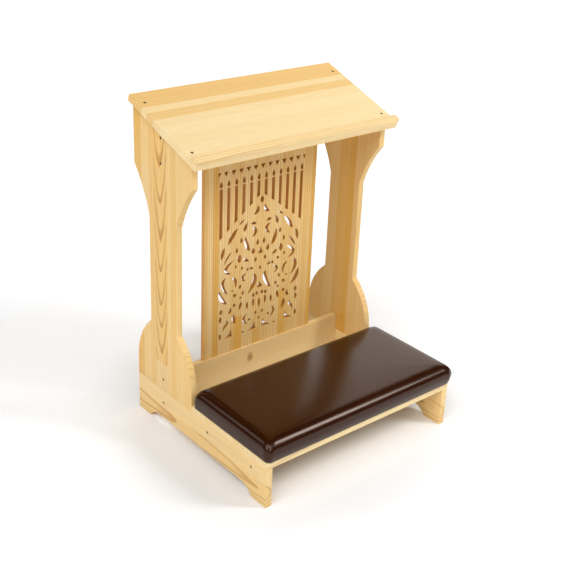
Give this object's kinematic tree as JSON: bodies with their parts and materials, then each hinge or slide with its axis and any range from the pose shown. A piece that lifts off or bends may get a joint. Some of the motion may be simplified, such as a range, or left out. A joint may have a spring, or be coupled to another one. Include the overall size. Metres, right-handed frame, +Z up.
{
  "type": "prayer bench",
  "caption": "Pine prayer bench with a padded kneeling board on floor rails, shaped uprights, a pierced ornamental panel and a sloping book desk.",
  "frame": {"origin": "on the floor, in the middle of the bench's length and width", "axes": "+Z up, the kneeling side faces -Y, +X to the right of a person who looks at the bench from its kneeling side"},
  "size_m": [0.652, 0.5753, 0.8923],
  "materials": {
    "pine": "clear satin lacquer on pale edge-glued pine",
    "plywood": "raw plywood",
    "beech": "raw beech",
    "leatherette": "smooth dark brown, semi-gloss",
    "foam": "open-cell foam",
    "steel": "zinc-plated, sunk below the surface"
  },
  "bodies": {
    "root": {"left_base_rail": "pine", "right_base_rail": "pine", "left_upright": "pine", "right_upright": "pine", "kick_board": "pine", "upper_cross_rail": "pine", "fretwork_panel": "pine", "desk_board": "pine", "book_stop": "pine", "kneeler_board": "pine", "front_batten": "pine", "rear_batten": "pine", "cushion_cover": "leatherette", "cushion_foam": "foam", "cushion_base": "plywood", "upright_dowel_1": "beech", "upright_dowel_2": "beech", "upright_dowel_3": "beech", "upright_dowel_4": "beech", "panel_bottom_dowel_1": "beech", "panel_bottom_dowel_2": "beech", "panel_bottom_dowel_3": "beech", "panel_top_dowel_1": "beech", "panel_top_dowel_2": "beech", "panel_top_dowel_3": "beech", "kick_board_screw_1": "steel", "kick_board_screw_2": "steel", "kick_board_screw_3": "steel", "kick_board_screw_4": "steel", "upper_rail_screw_1": "steel", "upper_rail_screw_2": "steel", "upper_rail_screw_3": "steel", "upper_rail_screw_4": "steel", "desk_screw_1": "steel", "desk_screw_2": "steel", "desk_screw_3": "steel", "desk_screw_4": "steel", "book_stop_screw_1": "steel", "book_stop_screw_2": "steel", "book_stop_screw_3": "steel", "book_stop_screw_4": "steel", "batten_screw_1": "steel", "batten_screw_2": "steel", "batten_screw_3": "steel", "batten_screw_4": "steel", "kneeler_board_screw_1": "steel", "kneeler_board_screw_2": "steel", "kneeler_board_screw_3": "steel", "kneeler_board_screw_4": "steel", "cushion_screw_1": "steel", "cushion_screw_2": "steel", "cushion_screw_3": "steel", "cushion_screw_4": "steel"}
  },
  "joints": []
}
